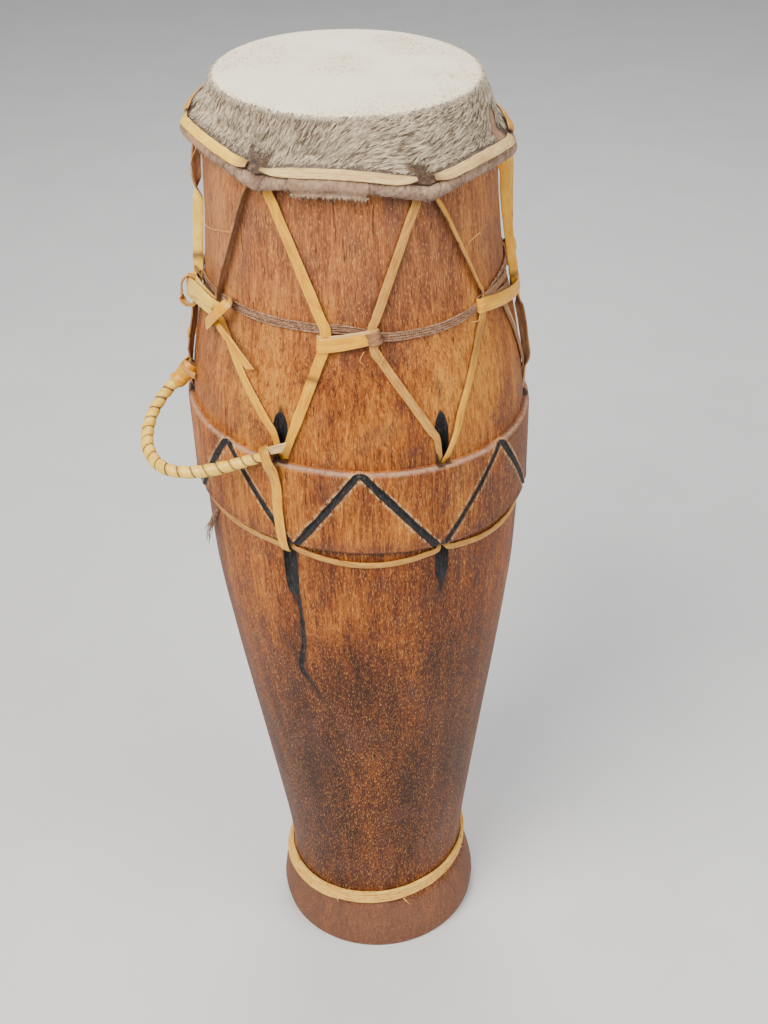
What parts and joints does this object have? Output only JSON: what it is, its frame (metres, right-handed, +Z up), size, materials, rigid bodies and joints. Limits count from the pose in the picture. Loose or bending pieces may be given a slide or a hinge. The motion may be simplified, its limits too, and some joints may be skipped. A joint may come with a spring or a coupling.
{
  "type": "ceremonial ritual drum",
  "caption": "Tall hand drum carved from one log, with a raised zigzag collar, a hair-on hide head, split-rattan lacing, a wrapped loop handle and a raffia band above the foot.",
  "frame": {"origin": "middle of the drum's box, on the floor under its foot", "axes": "+Z up along the drum's axis, -Y out of its front, where the lacing's bindings and the collar tie are seen, and the handle at -X"},
  "size_m": [0.257, 0.2296, 0.7028],
  "materials": {
    "stained_wood": "orange-brown stained hardwood with light pore streaks, plum-brown patches and black burnt grooves, satin from handling",
    "hide": "rawhide, shaved cream in the middle, with short grey-brown hair left on down the side",
    "rolled_hide": "taupe hide rolled round the hoop, matt, with dark cross seams",
    "golden_rattan": "split rattan, the glossy golden skin outwards",
    "brown_rattan": "split rattan, the matt fibrous inner face outwards",
    "brown_twine": "thin brown twisted fibre cords side by side",
    "raffia": "straw-coloured raffia fibres, slightly glossy"
  },
  "bodies": {
    "root": {"binding_1": "golden_rattan", "binding_2": "golden_rattan", "binding_2_tail": "brown_rattan", "binding_3": "golden_rattan", "binding_4": "golden_rattan", "binding_5": "golden_rattan", "binding_6": "golden_rattan", "collar_strip_1": "golden_rattan", "collar_strip_2": "golden_rattan", "collar_strip_3": "golden_rattan", "collar_strip_4": "golden_rattan", "collar_strip_5": "golden_rattan", "collar_strip_6": "golden_rattan", "drum_body": "stained_wood", "drumhead": "hide", "handle": "golden_rattan", "handle_knot": "brown_rattan", "handle_tie": "golden_rattan", "hoop": "rolled_hide", "hoop_strip_1": "golden_rattan", "hoop_strip_2": "golden_rattan", "hoop_strip_3": "golden_rattan", "hoop_strip_4": "golden_rattan", "hoop_strip_5": "golden_rattan", "hoop_strip_6": "golden_rattan", "raffia_band": "raffia", "strand_1_left": "brown_rattan", "strand_1_right": "golden_rattan", "strand_2_left": "golden_rattan", "strand_2_right": "brown_rattan", "strand_3_left": "brown_rattan", "strand_3_right": "golden_rattan", "strand_4_left": "golden_rattan", "strand_4_right": "brown_rattan", "strand_5_left": "brown_rattan", "strand_5_right": "golden_rattan", "strand_6_left": "golden_rattan", "strand_6_right": "brown_rattan", "twine_belt": "brown_twine"}
  },
  "joints": []
}
